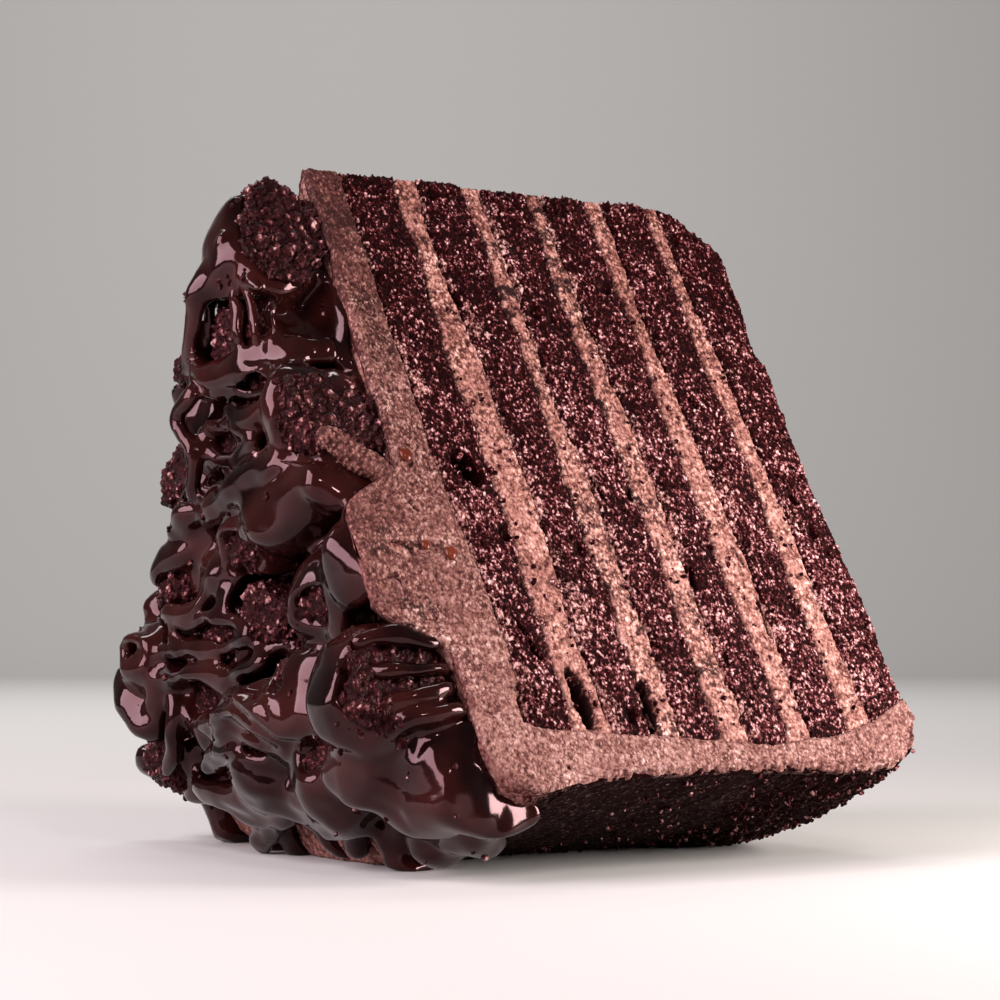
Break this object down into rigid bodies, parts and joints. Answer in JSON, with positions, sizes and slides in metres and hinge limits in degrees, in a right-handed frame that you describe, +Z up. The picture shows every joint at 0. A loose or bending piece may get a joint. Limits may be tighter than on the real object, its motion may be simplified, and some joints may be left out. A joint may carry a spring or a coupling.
{
  "type": "slice of chocolate fudge layer cake",
  "caption": "Tall wedge of dark chocolate layer cake with pale fudge fillings, iced wall and a glossy topping of fudge-coated cake chunks, standing on its curved outer wall.",
  "frame": {"origin": "centre of the bounding box at the floor, under the curved wall that the slice stands on", "axes": "X along the cake's own axis, its fudge topping towards -X and its base towards +X; the near cut faces -Y; +Z up from the iced wall to the slice's tip"},
  "size_m": [0.1138, 0.1208, 0.1246],
  "materials": {
    "sponge": "open dark chocolate crumb, rough and moist",
    "filling": "sliced chocolate fudge frosting, dull with a fine sparkle",
    "icing": "spread chocolate frosting, satin, dragged by the knife",
    "fudge": "poured hot fudge, near black and very glossy",
    "chunk": "torn dark chocolate sponge, rough crumb"
  },
  "bodies": {
    "root": {"sponge_1": "sponge", "sponge_2": "sponge", "sponge_3": "sponge", "sponge_4": "sponge", "sponge_5": "sponge", "sponge_6": "sponge", "filling_1": "filling", "filling_2": "filling", "filling_3": "filling", "filling_4": "filling", "filling_5": "filling", "icing": "icing", "fudge": "fudge", "chunk_01": "chunk", "chunk_02": "chunk", "chunk_03": "chunk", "chunk_04": "chunk", "chunk_05": "chunk", "chunk_06": "chunk", "chunk_07": "chunk", "chunk_08": "chunk", "chunk_09": "chunk", "chunk_10": "chunk", "chunk_11": "chunk", "chunk_12": "chunk", "chunk_13": "chunk", "chunk_14": "chunk", "chunk_15": "chunk", "chunk_16": "chunk", "chunk_17": "chunk", "chunk_18": "chunk", "chunk_19": "chunk", "chunk_20": "chunk"}
  },
  "joints": []
}
